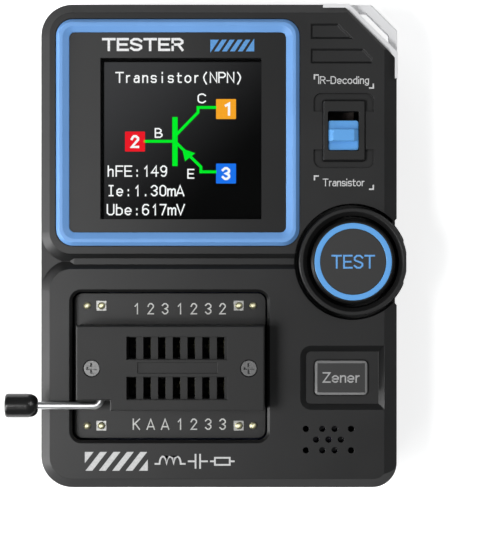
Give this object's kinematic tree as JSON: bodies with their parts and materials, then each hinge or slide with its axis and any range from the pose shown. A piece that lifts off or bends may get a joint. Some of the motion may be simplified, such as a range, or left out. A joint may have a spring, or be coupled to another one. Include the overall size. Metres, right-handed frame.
{
  "type": "component tester",
  "caption": "Pocket electronics component tester: flat case with a colour screen, lever-clamp test socket, round and oblong push buttons, slide switch and corner lanyard loop.",
  "frame": {"origin": "middle of the flat back face that the tester rests on", "axes": "+X towards the tester's right side seen from the front, +Y towards its top edge beside the screen, +Z out of the face"},
  "size_m": [0.07, 0.0851, 0.0297],
  "materials": {
    "case_plastic": "fine moulded texture, near black",
    "loop_plastic": "pale grey satin",
    "bezel_blue": "satin metallic blue",
    "lens_acrylic": "gloss, black border printed behind a clear window",
    "display_glass": "lit colour picture",
    "foam_rubber": "black foam and adhesive",
    "carrier_plastic": "white moulded",
    "flex_film": "amber film",
    "key_plastic": "soft matte black",
    "key_blue": "gloss blue",
    "key_grey": "matte dark grey with a printed rim line",
    "frame_plastic": "smooth black",
    "switch_plastic": "smooth black switch body",
    "switch_steel": "bright shell",
    "socket_plastic": "glass-filled black",
    "contact_gold": "gold plate",
    "lever_chrome": "bright wire",
    "lever_cap": "gloss black",
    "board_mask": "black solder mask",
    "board_green": "green solder mask",
    "solder": "tinned",
    "screw_steel": "dark zinc",
    "chip_epoxy": "moulded epoxy",
    "capacitor_body": "fired tan body with tinned ends",
    "ferrite": "dark sintered core",
    "lens_epoxy": "dark infrared epoxy",
    "pouch_foil": "satin foil",
    "label_film": "blank satin film"
  },
  "bodies": {
    "case": {"rear_cover": "case_plastic", "front_cover": "case_plastic", "lanyard_loop": "loop_plastic", "screen_bezel": "bezel_blue", "screen_lens": "lens_acrylic", "display_panel": "display_glass", "display_backlight": "display_glass", "lens_tape": "foam_rubber", "display_gasket": "foam_rubber", "battery_foam": "foam_rubber", "display_carrier": "carrier_plastic", "display_flex": "flex_film", "test_collar": "key_plastic", "mode_switch_frame": "frame_plastic", "test_switch_body": "switch_plastic", "zener_switch_body": "switch_plastic", "flex_connector": "switch_plastic", "header_sockets": "switch_plastic", "usb_c_tongue": "switch_plastic", "mode_switch_body": "switch_steel", "usb_c_socket": "switch_steel", "zif_base": "socket_plastic", "zif_cover": "socket_plastic", "zif_contacts": "contact_gold", "board_pins": "contact_gold", "socket_board": "board_mask", "main_board": "board_green", "battery_board": "board_green", "board_pads": "solder", "ir_receiver_leads": "solder", "battery_tabs": "solder", "crystal": "solder", "zif_cover_screws": "screw_steel", "case_screws": "screw_steel", "mcu_chip": "chip_epoxy", "charger_chip": "chip_epoxy", "regulator_chip": "chip_epoxy", "memory_chip": "chip_epoxy", "chip_resistors": "chip_epoxy", "chip_capacitors": "capacitor_body", "boost_inductor": "ferrite", "ir_receiver": "lens_epoxy", "battery": "pouch_foil", "rear_label": "label_film"},
    "test_key": {"test_button": "key_plastic", "test_button_ring": "key_blue", "test_switch_plunger": "switch_plastic"},
    "zener_key": {"zener_button": "key_grey", "zener_switch_plunger": "switch_plastic"},
    "mode_key": {"mode_slider_knob": "key_blue", "mode_switch_stem": "switch_plastic"},
    "lever": {"zif_lever": "lever_chrome", "zif_lever_knob": "lever_cap"},
    "slider": {"zif_slider": "socket_plastic"}
  },
  "joints": [
    {"name": "test_press", "type": "slide", "parent": "case", "child": "test_key", "axis": [0, 0, -1], "range_m": [0, 0.0005], "stiffness_N_per_m": 2000, "springref_m": -0.0004},
    {"name": "zener_press", "type": "slide", "parent": "case", "child": "zener_key", "axis": [0, 0, -1], "range_m": [0, 0.0005], "stiffness_N_per_m": 2000, "springref_m": -0.0004},
    {"name": "mode_slide", "type": "slide", "parent": "case", "child": "mode_key", "axis": [0, 1, 0], "range_m": [0, 0.0015]},
    {"name": "lever_swing", "type": "hinge", "parent": "case", "child": "lever", "pos_m": [-0.02058, -0.02792, 0.0237], "axis": [0, 1, 0], "range_deg": [0, 90]},
    {"name": "slider_shift", "type": "slide", "parent": "case", "child": "slider", "axis": [1, 0, 0], "range_m": [0, 0.001]}
  ],
  "couplings": [
    {"joint": "lever_swing", "follows": "slider_shift", "rad_per_m": 1570.8}
  ]
}
